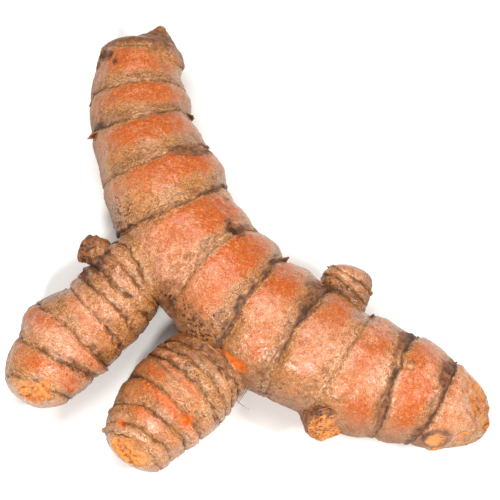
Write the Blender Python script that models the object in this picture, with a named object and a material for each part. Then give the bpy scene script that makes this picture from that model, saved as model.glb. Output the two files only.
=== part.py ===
"""A fresh turmeric rhizome, lying as it would on a table: a bent main axis with two side fingers,
a knob behind, and the cut stubs of smaller shoots, grown as one piece.

World axes are in metres with +Z up. The table is z = 0, +X points to the side where the main axis ends
in its tip, +Y to the end where the old stem stood, and the origin is on the table under the middle of the
rhizome's box. Every limb is a loft round its own axis. Its cross-sections follow the leaf-scar rings, which
lean a little, and swell between them. Torn ends are cut flat.
"""

import bmesh
import bpy
import numpy as np
from mathutils import Matrix, Vector

MM = 0.001

# Shape shared by all limbs, in millimetres unless said otherwise.
HEIGHT_SHARE = 0.95  # a cross-section's height over its width: limbs lie slightly flattened
AXIS_STEPS = 60  # samples of the smooth axis between two of its points
RISE_SHARE = 0.2  # share of an internode over which it swells after its ring
FALL_FROM = 0.42  # share of an internode where the swelling starts to fall again
FALL_DEPTH = 0.8  # how much of the swelling is gone at the next ring
MEAN_SWELLING = 0.3  # share of the swelling that the axis tables' radii hold already
FULL_INTERNODE = 7.0  # internodes shorter than this swell less, in proportion
GROOVE_DEPTH = 0.22
GROOVE_SHARE = 0.035
LUMP_HEIGHT = 0.3
LUMP_WAVES = 5
CROWN_EASE = 0.1  # how softly a ring's top lean fades out at its sides
CAP_ROUNDNESS = 2.4  # exponent of the ends' rounding: 2 is elliptical, more is blunter

# Places of the cross-sections within an internode, as shares of its length.
SHORT_INTERNODE = 4.5
SHORT_ROWS = (0.0, 0.12, 0.4, 0.8)
MIDDLE_ROWS = (0.0, 0.06, 0.2, 0.45, 0.7, 0.92)
FIRST_ROWS = (0.0, 0.03, 0.12, 0.3, 0.55, 0.8, 0.95)
LAST_ROWS = (0.0, 0.06, 0.25, 0.5, 0.72, 0.88, 0.97)

# Axis points: x, y, z and radius. Rings: distance along the axis, lean of the side, lean of the top.
MAIN_AXIS = (
    (-22.8, 46.5, 9.4, 8.2),
    (-23.3, 36.6, 9.0, 9.2),
    (-21.9, 25.6, 9.9, 10.4),
    (-19.8, 18.0, 10.8, 11.2),
    (-15.8, 7.8, 11.7, 12.1),
    (-8.6, -4.5, 11.9, 12.3),
    (-0.5, -13.5, 11.9, 12.3),
    (8.6, -19.5, 11.7, 12.2),
    (19.0, -25.4, 10.9, 11.4),
    (28.8, -28.4, 10.0, 10.3),
    (36.6, -31.2, 8.8, 8.8),
    (42.2, -32.4, 7.6, 6.2),
    (46.6, -32.8, 6.8, 4.2),
)
MAIN_RINGS = (
    (3.2, 0.0, 0.6),
    (12.8, 0.0, 1.0),
    (18.6, 0.6, 4.2),
    (29.2, 0.7, 4.2),
    (40.4, -0.3, 3.6),
    (56.3, 1.4, -0.3),
    (66.1, 1.6, 0.9),
    (78.8, -0.3, -1.4),
    (88.3, -1.0, -0.9),
    (98.8, -1.3, -1.3),
    (106.7, -1.3, 0.1),
)
LEFT_AXIS = (
    (-14.0, 1.0, 13.0, 6.6),
    (-22.0, -5.4, 13.0, 7.4),
    (-26.5, -11.0, 11.6, 8.2),
    (-30.4, -14.6, 10.2, 8.2),
    (-34.7, -17.8, 9.1, 9.1),
    (-39.4, -23.7, 8.0, 8.2),
    (-42.2, -27.7, 7.2, 6.7),
    (-43.8, -30.5, 6.8, 4.8),
)
LEFT_RINGS = (
    (12.7, -1.3, -2.4),
    (14.0, -0.8, -1.9),
    (15.9, -1.0, -0.7),
    (19.2, -0.1, -1.0),
    (23.4, 0.1, -1.9),
    (27.5, 1.0, 0.1),
    (33.3, 1.1, 1.1),
    (40.4, 1.6, -0.2),
)
FRONT_AXIS = (
    (0.0, -14.5, 11.0, 6.4),
    (-6.2, -22.2, 10.2, 8.0),
    (-10.2, -26.0, 9.6, 9.2),
    (-13.8, -29.4, 9.0, 9.4),
    (-16.9, -32.6, 8.4, 9.0),
    (-19.7, -35.9, 7.8, 8.0),
    (-22.1, -39.2, 7.4, 6.7),
    (-24.2, -42.1, 7.0, 5.0),
)
FRONT_RINGS = (
    (10.1, -1.0, -1.1),
    (12.9, 0.0, -2.7),
    (16.2, 1.1, -4.2),
    (17.9, 0.9, -3.4),
    (19.9, 0.9, -2.8),
    (25.0, 0.6, -3.0),
    (30.2, 1.8, -3.9),
    (33.4, 1.2, -2.9),
    (35.2, 0.6, -2.2),
)
# Bumps and hollows: distance along the axis, angle in degrees (90 is the top, and 0 the right-hand side for
# someone who looks from the limb's base to its tip), height, and reach along the axis.
BUMP_WIDTH = 0.35  # how far a bump goes round the limb
MAIN_BUMPS = (
    (8.0, 180, -0.7, 2.5),
    (11.5, 0, 0.6, 2.5),
    (15.5, 180, 0.5, 2.0),
    (21.0, 180, -0.5, 3.0),
    (24.5, 0, -0.5, 3.0),
    (35.5, 0, -0.6, 3.5),
    (36.0, 180, 1.2, 4.0),
    (46.0, 180, -0.9, 3.0),
    (57.0, 0, -0.9, 4.0),
    (61.0, 180, 1.2, 3.8),
    (71.5, 180, 0.8, 4.0),
    (83.0, 0, -0.7, 4.0),
    (92.5, 180, 0.8, 3.5),
    (101.5, 180, 0.5, 3.5),
)
LEFT_BUMPS = (
    (25.5, 0, -0.5, 2.0),
    (30.5, 0, 0.9, 2.5),
    (37.0, 0, -0.6, 2.5),
    (36.0, 180, -0.6, 3.0),
    (41.5, 180, -0.7, 2.5),
)
# Torn ends, cut flat: distance along the axis, angle in degrees, tilt towards the tip in degrees, and depth.
MAIN_CUTS = ((116.0, 96, 46, 1.7), (108.0, 28, 30, 0.5))
LEFT_CUTS = ((42.2, 112, 42, 0.9),)
FRONT_CUTS = ((34.5, 96, 45, 1.0),)
FRONT_STUB_CUTS = ((12.5, 280, 76, 1.7),)
END_STUB_CUTS = ((6.0, 90, 52, 0.6),)
KNOB_AXIS = (
    (16.2, -17.0, 11.4, 4.2),
    (18.3, -9.6, 12.0, 4.9),
    (19.1, -4.3, 12.2, 4.5),
)
KNOB_RINGS = ((6.0, -2.4, 0.2), (8.2, -2.4, 0.2), (10.2, -2.0, 0.2))
FRONT_STUB_AXIS = ((13.0, -28.0, 7.0, 3.6), (14.3, -34.0, 12.0, 4.5), (15.2, -37.5, 14.6, 4.1))
END_STUB_AXIS = ((34.4, -33.0, 8.4, 3.2), (35.8, -37.2, 7.4, 3.0), (36.4, -39.7, 6.8, 2.6))
SIDE_BUD_AXIS = ((-24.0, -5.0, 13.0, 3.2), (-30.4, -1.6, 13.0, 3.0), (-33.5, -0.3, 13.0, 2.8))
SMALL_BUD_AXIS = ((-31.0, -11.0, 12.0, 1.4), (-34.2, -8.2, 12.4, 1.2))
STEM_SCAR_AXIS = (
    (-20.6, 41.0, 9.8, 7.4),
    (-19.7, 45.2, 10.6, 5.4),
    (-18.9, 47.9, 11.3, 2.2),
    (-18.6, 49.7, 11.7, 1.0),
)
STEM_LOBE_AXIS = ((-19.6, 42.0, 10.6, 3.8), (-15.6, 42.4, 12.2, 2.8))

TABLE_BLOCK_SIDE = 140.0
BOX_SHIFT = (0.6, -2.8, 0.0)  # from the axis tables' origin to the middle of the box
SKIN_COLOUR = (0.69, 0.29, 0.11, 1.0)
SKIN_ROUGHNESS = 0.45
SMOOTH_ANGLE = 0.8  # radians


def clear_scene():
    """Removes whatever the scene holds."""
    for found in list(bpy.data.objects):
        bpy.data.objects.remove(found)


def smooth_step(x):
    """0 below 0, 1 above 1, and a smooth S between."""
    t = np.clip(x, 0.0, 1.0)
    return t * t * (3.0 - 2.0 * t)


def smooth_axis(points):
    """A Catmull-Rom curve through the axis points, as a table of distance, place and radius."""
    p = np.asarray(points, float)
    p = np.vstack([2 * p[0] - p[1], p, 2 * p[-1] - p[-2]])
    t = np.linspace(0.0, 1.0, AXIS_STEPS, endpoint=False)[:, None]
    spans = [
        0.5
        * (
            2 * b
            + (c - a) * t
            + (2 * a - 5 * b + 4 * c - d) * t**2
            + (3 * b - a - 3 * c + d) * t**3
        )
        for a, b, c, d in zip(p[:-3], p[1:-2], p[2:-1], p[3:])
    ]
    rows = np.vstack([*spans, p[-2:-1]])
    steps = np.linalg.norm(np.diff(rows[:, :3], axis=0), axis=1)
    return np.concatenate([[0.0], np.cumsum(steps)]), rows


def along(distance, table, values):
    """The table's values at these distances, column by column."""
    return np.stack([np.interp(distance, table, column) for column in values.T], axis=-1)


def axis_frame(distance, table, rows):
    """Centre, radius, sideways and upward unit vectors of the axis at these distances."""
    tangents = np.gradient(rows[:, :3], table, axis=0)
    found = along(distance, table, rows)
    tangent = along(distance, table, tangents)
    tangent /= np.linalg.norm(tangent, axis=-1, keepdims=True)
    side = np.cross(tangent, [0.0, 0.0, 1.0])
    side /= np.linalg.norm(side, axis=-1, keepdims=True)
    return found[..., :3], found[..., 3], side, np.cross(side, tangent)


def ring_rows(rings, length, angle):
    """Distance, internode share and fullness of every cross-section: rows between one ring and the next,
    which lean as the rings do. A ring's distance is its own, plus its side lean times the cosine of the
    angle, plus its top lean times an eased sine that is near 0 all round the underside."""
    edges = [np.zeros_like(angle)]
    crown = (np.sin(angle) + np.sqrt(np.sin(angle) ** 2 + CROWN_EASE)) / 2
    edges += [d + side * np.cos(angle) + top * crown for d, side, top in rings]
    edges += [np.full_like(angle, length)]
    distances, shares, fullness = [], [], []
    last = len(edges) - 2
    for k, (near, far) in enumerate(zip(edges[:-1], edges[1:])):
        spacing = np.mean(far - near)
        inner = SHORT_ROWS if spacing < SHORT_INTERNODE else MIDDLE_ROWS
        rows = FIRST_ROWS if k == 0 else LAST_ROWS if k == last else inner
        for share in rows:
            distances.append(near + share * (far - near))
            shares.append(np.full_like(angle, share))
            fullness.append(np.full_like(angle, min(spacing / FULL_INTERNODE, 1.0)))
    return np.array(distances[1:]), np.array(shares[1:]), np.array(fullness[1:])


def swelling(share):
    """Height of an internode over its groove: a quick rise after the ring, then a slow fall."""
    rise = smooth_step(share / RISE_SHARE)
    fall = 1.0 - FALL_DEPTH * smooth_step((share - FALL_FROM) / (1.0 - FALL_FROM))
    return rise * fall


def groove(share):
    """The crease at a ring: a narrow bell at share 0."""
    return np.exp(-((share / GROOVE_SHARE) ** 2))


def lumps(distance, angle, seed):
    """Slow unevenness: a sum of a few waves round and along the limb, with seeded phases."""
    draw = np.random.default_rng(seed)
    total = np.zeros_like(distance)
    for _ in range(LUMP_WAVES):
        turns = draw.integers(1, 4)
        wavelength = draw.uniform(12.0, 30.0)
        phase = draw.uniform(0.0, 2 * np.pi)
        total += np.cos(2 * np.pi * distance / wavelength + turns * angle + phase)
    return total * LUMP_HEIGHT / LUMP_WAVES


def bumps(distance, angle, places):
    """The sum of the bumps: each a bell along the axis times a bell round it."""
    total = np.zeros_like(distance)
    for d, degrees, height, reach in places:
        round_it = np.exp((np.cos(angle - np.radians(degrees)) - 1.0) / BUMP_WIDTH)
        total += height * np.exp(-(((distance - d) / reach) ** 2)) * round_it
    return total


def end_rounding(distance, length, start_cap, end_cap):
    """Share of the full radius near the two ends, from 0 at the tip: a superellipse."""
    near = np.clip(1.0 - distance / start_cap, 0.0, 1.0)
    far = np.clip(1.0 - (length - distance) / end_cap, 0.0, 1.0)
    k = CAP_ROUNDNESS
    return (1.0 - near**k) ** (1.0 / k) * (1.0 - far**k) ** (1.0 / k)


def cut_facing(cut, table, rows):
    """The way a cut's plane faces: out from the axis at its place, tilted towards the tip."""
    d, degrees, tilt, _ = cut
    _, _, side, up = axis_frame(np.array(d), table, rows)
    out = np.cos(np.radians(degrees)) * side + np.sin(np.radians(degrees)) * up
    return np.cos(np.radians(tilt)) * out + np.sin(np.radians(tilt)) * np.cross(up, side)


def pressed(points, facing, level):
    """The points, with those beyond the plane moved back onto it."""
    return points - np.maximum(points @ facing - level, 0.0)[..., None] * facing


def limb(name, points, rings, sides, swell, caps, seed, places=(), cuts=()):
    """One limb as a closed loft of cross-sections between two end points. A cut's plane lies at its depth
    behind the limb's furthest point that way."""
    table, rows = smooth_axis(points)
    length = table[-1]
    angle = np.linspace(0.0, 2 * np.pi, sides, endpoint=False)
    distance, share, fullness = ring_rows(rings, length, angle)
    angle = np.broadcast_to(angle, distance.shape)
    centre, radius, side, up = axis_frame(distance, table, rows)
    relief = swell * fullness * (swelling(share) - MEAN_SWELLING) - GROOVE_DEPTH * groove(share)
    relief *= swell > 0
    relief = relief + lumps(distance, angle, seed) + bumps(distance, angle, places)
    reach = (radius + relief) * end_rounding(distance, length, *caps)
    across = (reach * np.cos(angle))[..., None] * side
    raised = (reach * HEIGHT_SHARE * np.sin(angle))[..., None] * up
    sections, tips = centre + across + raised, rows[[0, -1], :3]
    for cut in cuts:
        facing = cut_facing(cut, table, rows)
        level = (sections @ facing).max() - cut[3]
        sections, tips = pressed(sections, facing, level), pressed(tips, facing, level)
    return loft(name, sections * MM, *(tips * MM))


def loft(name, sections, first_tip, last_tip):
    """A closed mesh through rings of points, with a fan of triangles to each tip."""
    made = bmesh.new()
    loops = [[made.verts.new(point) for point in section] for section in sections]
    count = len(loops[0])
    first, last = made.verts.new(first_tip), made.verts.new(last_tip)
    for j in range(count):
        k = (j + 1) % count
        made.faces.new((first, loops[0][j], loops[0][k]))
        made.faces.new((last, loops[-1][k], loops[-1][j]))
        for near, far in zip(loops[:-1], loops[1:]):
            made.faces.new((near[j], far[j], far[k], near[k]))
    bmesh.ops.recalc_face_normals(made, faces=made.faces)
    mesh = bpy.data.meshes.new(name)
    made.to_mesh(mesh)
    made.free()
    return bpy.data.objects.new(name, mesh)


def main_axis():
    """The bent main axis, with its eleven leaf-scar rings."""
    return limb("turmeric_rhizome", MAIN_AXIS, MAIN_RINGS, 36, 0.85, (3.2, 4.2), 3, MAIN_BUMPS, MAIN_CUTS)


def left_finger():
    """The finger that leaves the bend and slopes down to the left."""
    return limb("left_finger", LEFT_AXIS, LEFT_RINGS, 24, 0.85, (3.0, 4.0), 5, LEFT_BUMPS, LEFT_CUTS)


def front_finger():
    """The finger that points to the front, with crowded rings at its root."""
    return limb("front_finger", FRONT_AXIS, FRONT_RINGS, 24, 0.85, (3.0, 3.4), 8, (), FRONT_CUTS)


def back_knob():
    """The short curled shoot on the back."""
    return limb("back_knob", KNOB_AXIS, KNOB_RINGS, 16, 0.3, (3.0, 3.0), 11)


def front_stub():
    """The cut shoot low on the front."""
    return limb("front_stub", FRONT_STUB_AXIS, (), 14, 0.0, (2.0, 1.2), 13, (), FRONT_STUB_CUTS)


def end_stub():
    """The cut bud beside the right-hand tip."""
    return limb("end_stub", END_STUB_AXIS, (), 12, 0.0, (2.0, 1.0), 17, (), END_STUB_CUTS)


def side_bud():
    """The rough bud on the root of the left finger."""
    return limb("side_bud", SIDE_BUD_AXIS, (), 12, 0.0, (2.0, 1.2), 19)


def small_bud():
    """The pea-sized bud further down the left finger."""
    return limb("small_bud", SMALL_BUD_AXIS, (), 10, 0.0, (1.0, 0.9), 23)


def stem_scar():
    """The torn peak where the old stem stood, at the upper end."""
    return limb("stem_scar", STEM_SCAR_AXIS, (), 16, 0.0, (2.0, 0.8), 29)


def stem_lobe():
    """The pale lobe beside the stem scar."""
    return limb("stem_lobe", STEM_LOBE_AXIS, (), 12, 0.0, (1.6, 1.4), 31)


def table_block():
    """The block that takes off what would be below the table, which leaves small flats to rest on."""
    bpy.ops.mesh.primitive_cube_add(
        size=TABLE_BLOCK_SIDE * MM, location=(0.0, 0.0, -TABLE_BLOCK_SIDE * MM / 2)
    )
    block = bpy.context.object
    block.name = "table_block"
    block.display_type = "WIRE"
    block.hide_render = True
    return block


def apply_modifiers(target):
    """Replaces the object's mesh with the one that its modifiers make."""
    graph = bpy.context.evaluated_depsgraph_get()
    mesh = bpy.data.meshes.new_from_object(target.evaluated_get(graph))
    target.modifiers.clear()
    target.data = mesh


def grow_together(body, shoots):
    """Unites the shoots with the body in one Boolean, and removes them."""
    growth = bpy.data.collections.new("shoots")
    bpy.context.scene.collection.children.link(growth)
    for shoot in shoots:
        growth.objects.link(shoot)
    union = body.modifiers.new("grow_together", "BOOLEAN")
    union.operation = "UNION"
    union.operand_type = "COLLECTION"
    union.collection = growth
    union.solver = "EXACT"
    apply_modifiers(body)
    for shoot in shoots:
        bpy.data.objects.remove(shoot)
    bpy.data.collections.remove(growth)


def set_down(body):
    """Cuts the body off at the table."""
    block = table_block()
    cut = body.modifiers.new("set_down", "BOOLEAN")
    cut.operation = "DIFFERENCE"
    cut.object = block
    cut.solver = "EXACT"
    apply_modifiers(body)
    bpy.data.objects.remove(block)


def centre_box(body):
    """Moves the mesh so that the origin is under the middle of its box."""
    body.data.transform(Matrix.Translation(Vector(BOX_SHIFT) * MM))


def skin_material():
    """The orange-tan skin."""
    material = bpy.data.materials.new("skin")
    material.use_nodes = True
    shader = material.node_tree.nodes["Principled BSDF"]
    shader.inputs["Base Color"].default_value = SKIN_COLOUR
    shader.inputs["Roughness"].default_value = SKIN_ROUGHNESS
    shader.inputs["Metallic"].default_value = 0.0
    return material


def main():
    clear_scene()
    rhizome = bpy.data.collections.new("turmeric")
    bpy.context.scene.collection.children.link(rhizome)
    body = main_axis()
    rhizome.objects.link(body)
    grow_together(
        body,
        [
            left_finger(),
            front_finger(),
            back_knob(),
            front_stub(),
            end_stub(),
            side_bud(),
            small_bud(),
            stem_scar(),
            stem_lobe(),
        ],
    )
    set_down(body)
    centre_box(body)
    body.data.materials.clear()
    body.data.materials.append(skin_material())
    body.data.shade_smooth()
    body.data.set_sharp_from_angle(angle=SMOOTH_ANGLE)


main()
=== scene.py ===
"""The looks of a fresh turmeric rhizome, lying on a pale table under soft studio light.

Every limb is a surface over two parameters, the distance along its axis and the angle round it: 0 degrees is
its right-hand side for someone who looks from its base to its tip, 90 degrees is its top. The leaf-scar
rings divide a limb into internodes, and most of the relief and colour depends on the share of the way from
one ring to the next. Lengths are in millimetres until a mesh is made.
"""

from typing import NamedTuple

import bpy
import numpy as np
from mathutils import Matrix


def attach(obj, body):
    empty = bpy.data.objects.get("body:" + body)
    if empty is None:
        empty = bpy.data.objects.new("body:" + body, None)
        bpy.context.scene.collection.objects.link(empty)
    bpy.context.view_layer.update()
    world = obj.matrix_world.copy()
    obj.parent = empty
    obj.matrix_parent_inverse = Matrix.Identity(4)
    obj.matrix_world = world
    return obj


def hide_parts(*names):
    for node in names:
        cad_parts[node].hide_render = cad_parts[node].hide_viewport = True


MM = 0.001
NODE = "turmeric_rhizome"
BOX_SHIFT = (0.6, -2.8, 0.0)  # from the axis tables' origin to the middle of the rhizome's box

# Camera: it looks down on the table, so that 100 mm at the height of the limbs' axes fill the picture.
CAMERA_ELEVATION = 70.0
CAMERA_LENS = 100.0
CAMERA_SENSOR = 36.0
CAMERA_WIDTH = 100.0
CAMERA_TARGET_HEIGHT = 10.0

# Light and table. A light's row is its name, place, size and power in watts.
ROOM_COLOUR = (1.0, 0.995, 0.985, 1.0)
ROOM_STRENGTH = 0.35
LIGHT_COLOUR = (1.0, 0.985, 0.96)
LIGHT_TARGET = (0.0, 0.0, 8.0)
LIGHTS = (
    ("above", (-25.0, 80.0, 330.0), 180.0, 0.76),
    ("front", (-90.0, -225.0, 224.0), 36.0, 0.72),
    ("right", (190.0, -110.0, 220.0), 34.0, 0.42),
)
TABLE_CORNERS = ((-1.0, -1.0), (1.0, -1.0), (1.0, 1.0), (-1.0, 1.0))
TABLE_HALF = 2000.0
TABLE_DROP = 0.05  # keeps the table top just clear of the flats that rest on it

# Form that all limbs share.
HEIGHT_SHARE = 0.95
AXIS_STEPS = 60
RISE_SHARE = 0.2
FALL_FROM = 0.42
FALL_DEPTH = 0.8
MEAN_SWELLING = 0.45
FAINT_RING = 0.35
FULL_INTERNODE = 7.0
LUMP_HEIGHT = 0.3
LUMP_WAVES = 5
CROWN_EASE = 0.1
CAP_ROUNDNESS = 2.4
BUMP_WIDTH = 0.35

# Fine relief. Sizes are the widths of a noise's cells.
RING_WANDER = 0.2
CREASE_DEPTH = 0.22
CREASE_REACH = 0.2
LIP_HEIGHT = 0.14
LIP_PLACE = 0.65
LIP_REACH = 0.38
WRINKLE_HEIGHT = 0.07
WRINKLE_SIZE = (0.42, 3.2, 3.2)
GRAIN_HEIGHT = 0.05
GRAIN_SIZE = 0.7
DENT_HEIGHT = 0.17
DENT_SIZE = 2.2
HOLLOW_HEIGHT = 0.22
HOLLOW_SIZE = 5.5
FLESH_HEIGHT = 0.3
CRUMB_SIZE = 0.9
ROUGH_HEIGHT = 0.35
ROUGH_SIZE = 1.6
SKIN_THICKNESS = 0.3
RIM_HEIGHT = 0.4
CUT_WAVE = 0.22
CUT_SOFTNESS = 0.12

# Colour masks.
BROAD_SIZE = 6.0
SMALL_SIZE = 1.5
FIBRE_SIZE = (0.5, 1.8, 1.8)
LINE_PAST = 0.17
LINE_BEFORE = 0.34
LIP_SHINE_PLACE = 0.75
LIP_SHINE_REACH = 0.22

# Scale remains and root hairs.
SCALE_STEPS = 26
SCALE_SIDES = 10
SCALE_THICKNESS = 0.14
SCALE_ROOT = 0.5
HAIR_STEPS = 20
HAIR_SIDES = 6
HAIR_RADIUS = 0.09


class Limb(NamedTuple):
    """One limb. Axis rows are x, y, z, radius. Ring rows are distance, side lean, top lean, then how dark and
    deep the crease is at 0, 90 and 180 degrees, and the width of the brown band before it. Bump rows are
    distance, degrees, height, reach. Patch rows, from orange to bloom, are distance, degrees, reach along,
    reach round in degrees, amount. Scar rows are distance, degrees, half length along, half width round and
    sunk depth. Scale rows are the ring, its first and last degrees, height, tilt in degrees and brownness.
    Hair rows are distance, degrees, length and droop. Cut rows are distance, degrees, tilt towards the tip
    in degrees, depth, and how much of the cut is bare flesh. A rough limb is uneven towards its tip."""

    name: str
    axis: tuple
    rings: tuple = ()
    bumps: tuple = ()
    swell: float = 0.0
    caps: tuple = (2.0, 1.2)
    seed: int = 0
    rows: int = 80
    sides: int = 80
    crown: tuple = (95.0, 75.0)  # middle and half width, in degrees, of the side that blushes orange
    orange: tuple = ()
    brown: tuple = ()
    soil_and_shade: tuple = ()
    flesh: tuple = ()
    vivid: tuple = ()
    pale: tuple = ()
    bloom_and_sheen: tuple = ()
    scars: tuple = ()
    scales: tuple = ()
    hairs: tuple = ()
    cuts: tuple = ()
    rough: float = 0.0


MAIN = Limb(
    name="main_axis",
    axis=(
        (-22.8, 46.5, 9.4, 8.2),
        (-23.3, 36.6, 9.0, 9.2),
        (-21.9, 25.6, 9.9, 10.4),
        (-19.8, 18.0, 10.8, 11.2),
        (-15.8, 7.8, 11.7, 12.1),
        (-8.6, -4.5, 11.9, 12.3),
        (-0.5, -13.5, 11.9, 12.3),
        (8.6, -19.5, 11.7, 12.2),
        (19.0, -25.4, 10.9, 11.4),
        (28.8, -28.4, 10.0, 10.3),
        (36.6, -31.2, 8.8, 8.8),
        (42.2, -32.4, 7.6, 6.2),
        (46.6, -32.8, 6.8, 4.2),
    ),
    rings=(
        (3.2, 0.0, 0.6, 0.1, 0.1, 0.3, 1.6),
        (12.8, 0.0, 1.0, 0.4, 0.15, 0.4, 1.8),
        (18.6, 0.6, 4.2, 0.9, 0.5, 0.4, 2.0),
        (29.2, 0.7, 4.2, 0.4, 0.2, 0.5, 2.0),
        (40.4, -0.3, 3.6, 0.9, 0.6, 0.9, 1.2),
        (56.3, 1.4, -0.3, 0.2, 0.1, 0.6, 2.0),
        (66.1, 1.6, 0.9, 0.6, 0.6, 0.8, 2.4),
        (78.8, -0.3, -1.4, 0.2, 0.7, 1.0, 2.0),
        (88.3, -1.0, -0.9, 0.1, 0.25, 0.4, 0.8),
        (98.8, -1.3, -1.3, 0.6, 0.7, 0.9, 1.8),
        (106.7, -1.3, 0.1, 0.8, 0.7, 1.0, 2.4),
    ),
    bumps=(
        (8.0, 180, -0.7, 2.5), (11.5, 0, 0.6, 2.5), (15.5, 180, 0.5, 2.0), (21.0, 180, -0.5, 3.0),
        (24.5, 0, -0.5, 3.0), (35.5, 0, -0.6, 3.5), (36.0, 180, 1.2, 4.0), (46.0, 180, -0.9, 3.0),
        (57.0, 0, -0.9, 4.0), (61.0, 180, 1.2, 3.8), (71.5, 180, 0.8, 4.0), (83.0, 0, -0.7, 4.0),
        (92.5, 180, 0.8, 3.5), (101.5, 180, 0.5, 3.5),
    ),
    swell=0.65,
    caps=(3.2, 4.2),
    seed=3,
    rows=428,
    sides=230,
    crown=(100.0, 68.0),
    orange=(
        (8.0, 75, 3.5, 60, 0.6), (16.5, 110, 3.0, 40, 0.7), (16.8, 50, 2.5, 40, 0.4),
        (25.5, 105, 3.0, 45, 0.8), (25.5, 50, 3.0, 35, 0.7), (36.5, 50, 3.0, 30, 0.4),
        (36.0, 105, 3.2, 50, 1.0), (48.5, 108, 4.5, 40, 1.0), (50.0, 65, 4.5, 25, 0.8),
        (61.0, 110, 3.2, 35, 1.0), (60.5, 65, 4.0, 30, 0.6), (57.5, 100, 2.5, 24, 0.8),
        (73.0, 60, 3.0, 22, 0.6), (70.5, 112, 3.5, 30, 0.8), (82.0, 122, 3.0, 30, 0.7),
        (83.5, 70, 4.5, 35, 0.4), (91.5, 105, 3.5, 35, 0.9), (93.5, 40, 4.0, 35, 0.9),
        (102.0, 85, 4.0, 60, 1.0), (102.5, 35, 4.0, 35, 0.8), (110.5, 80, 4.5, 90, 0.75),
    ),
    brown=(
        (2.0, 100, 1.6, 90, 0.9), (5.6, 34, 2.2, 24, 0.9), (54.0, 128, 1.5, 10, 0.8),
        (77.4, 122, 2.2, 24, 0.9), (96.8, 50, 2.2, 18, 0.8), (97.6, 138, 2.0, 20, 0.9),
        (105.4, 118, 1.8, 24, 0.8), (106.4, 22, 1.4, 14, 0.9), (46.0, 135, 1.6, 16, 0.6),
        (27.0, 20, 1.6, 20, 0.5), (58.0, 22, 3.5, 14, 0.7), (62.0, 40, 3.0, 16, 0.6),
        (54.5, 38, 1.6, 12, 0.6), (75.5, 138, 2.5, 18, 0.8), (75.0, 32, 2.0, 12, 0.6),
        # The patch at 73.5 mm and 16 degrees darkens the skin where the front finger meets this axis.
        (64.6, 45, 1.4, 20, 0.5), (73.5, 16, 3.0, 12, 0.6), (17.6, 18, 1.6, 20, 0.6),
    ),
    soil_and_shade=(
        (5.0, 32, 1.8, 22, 0.9), (38.5, 22, 3.0, 25, 1.3), (63.0, 30, 6.0, 22, 1.0),
        (65.5, 48, 3.0, 14, 0.7), (56.5, 26, 3.0, 14, 1.0), (78.0, 12, 4.0, 25, 0.9),
        (33.8, 120, 1.5, 20, 0.4), (77.5, 120, 2.0, 20, 0.6), (106.0, 110, 1.5, 35, 0.7),
    ),
    flesh=((99.2, 100, 0.8, 4, 0.7), (108.2, 26, 1.8, 16, 0.8)),
    vivid=((70.6, 29, 3.4, 9, 1.1),),
    scars=(
        (53.8, 125, 2.2, 1.9, 0.8), (33.7, 129, 1.5, 3.8, -0.15), (99.2, 102, 0.6, 0.8, -0.2),
        (108.2, 26, 1.7, 2.4, -0.2), (4.8, 30, 0.9, 0.8, 0.4), (5.8, 50, 0.9, 0.9, 0.4),
        (6.6, 20, 0.6, 0.6, 0.3), (7.8, 62, 0.5, 0.5, 0.25),
    ),
    scales=(
        (1, -6, 24, 1.3, 30, 0.3), (1, 158, 185, 0.7, 20, 0.6), (2, -4, 26, 1.5, 25, 0.35),
        (2, 164, 192, 1.6, 25, 0.6), (2, 108, 138, 0.5, 50, 0.4), (3, 156, 182, 0.9, 25, 0.5),
        (4, 10, 60, 0.6, 45, 0.6), (4, 118, 150, 0.5, 50, 0.6), (5, 140, 180, 0.9, 30, 0.4),
        (6, 148, 180, 1.2, 25, 0.6), (6, 118, 150, 0.6, 45, 0.5), (7, 96, 140, 0.7, 50, 0.6),
        (8, 156, 180, 0.8, 20, 0.7), (9, 140, 176, 0.6, 40, 0.8), (10, 130, 172, 0.8, 35, 0.8),
        (10, 10, 60, 0.5, 45, 0.7),
    ),
    hairs=((74.5, 4, 2.6, 0.9), (109.0, 20, 1.8, 0.4)),
    cuts=((116.0, 96, 46, 1.7, 0.6), (108.0, 28, 30, 0.5, 0.4)),
    pale=(
        (111.5, 95, 3.0, 55, 1.0), (99.5, 60, 1.0, 20, 0.4), (86.5, 30, 2.0, 18, 0.5),
        (37.5, 50, 3.0, 30, 0.5),
    ),
    bloom_and_sheen=(
        (50.5, 48, 6.0, 28, 1.0), (57.0, 66, 4.5, 18, 0.7), (70.5, 84, 4.0, 20, 0.7),
        (82.5, 84, 5.0, 28, 0.6), (86.5, 95, 3.5, 30, 0.9), (94.5, 82, 3.5, 26, 1.0),
        (91.0, 128, 3.0, 20, 0.8), (103.5, 108, 3.0, 24, 0.9), (110.5, 88, 3.5, 50, 1.0),
    ),
)
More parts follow.
